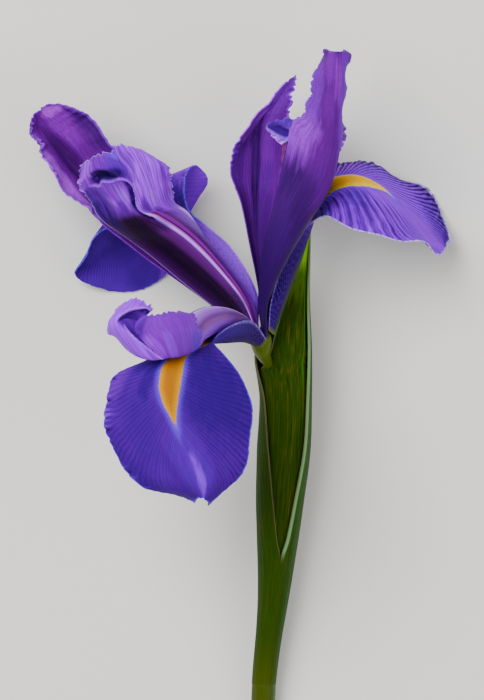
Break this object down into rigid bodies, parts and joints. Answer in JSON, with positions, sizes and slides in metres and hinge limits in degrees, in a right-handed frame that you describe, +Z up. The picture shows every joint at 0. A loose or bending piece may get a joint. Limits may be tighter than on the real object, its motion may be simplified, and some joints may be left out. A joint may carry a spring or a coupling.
{
  "type": "cut iris flower",
  "caption": "Cut Dutch iris lying on a surface: blue-violet falls with orange-yellow signals, upright violet standards, crested style arms, green bracts and stem.",
  "frame": {"origin": "middle of the footprint of the whole flower, at the height of the surface that it lies on", "axes": "+Z up from the surface; +Y from the cut end of the stem towards the tips of the standards; +X to the right seen from above, with the right fall on that side"},
  "size_m": [0.1062, 0.1758, 0.079],
  "materials": {
    "fall": "satin blue-violet petal with darker veins, a pale blue rim and an orange-yellow signal patch",
    "standard": "satin red-violet petal with fine length-wise veins and a lighter frilled margin",
    "style": "satin lilac style arm, maroon-purple on its sides, with a whitish keel and pale crests",
    "stamen": "matt pale filament and anther",
    "tube": "smooth yellow-green",
    "bract": "satin mid green with fine length-wise lines and a dry silvery margin",
    "stem": "smooth yellow-green stem with fine length-wise lines"
  },
  "bodies": {
    "root": {"stem": "stem", "ovary_tube": "tube", "spathe_outer": "bract", "spathe_inner": "bract", "fall_front": "fall", "fall_back": "fall", "fall_right": "fall", "standard_left": "standard", "standard_front": "standard", "standard_back": "standard", "style_front": "style", "style_back": "style", "style_right": "style", "stamen_front": "stamen", "stamen_back": "stamen", "stamen_right": "stamen"}
  },
  "joints": []
}
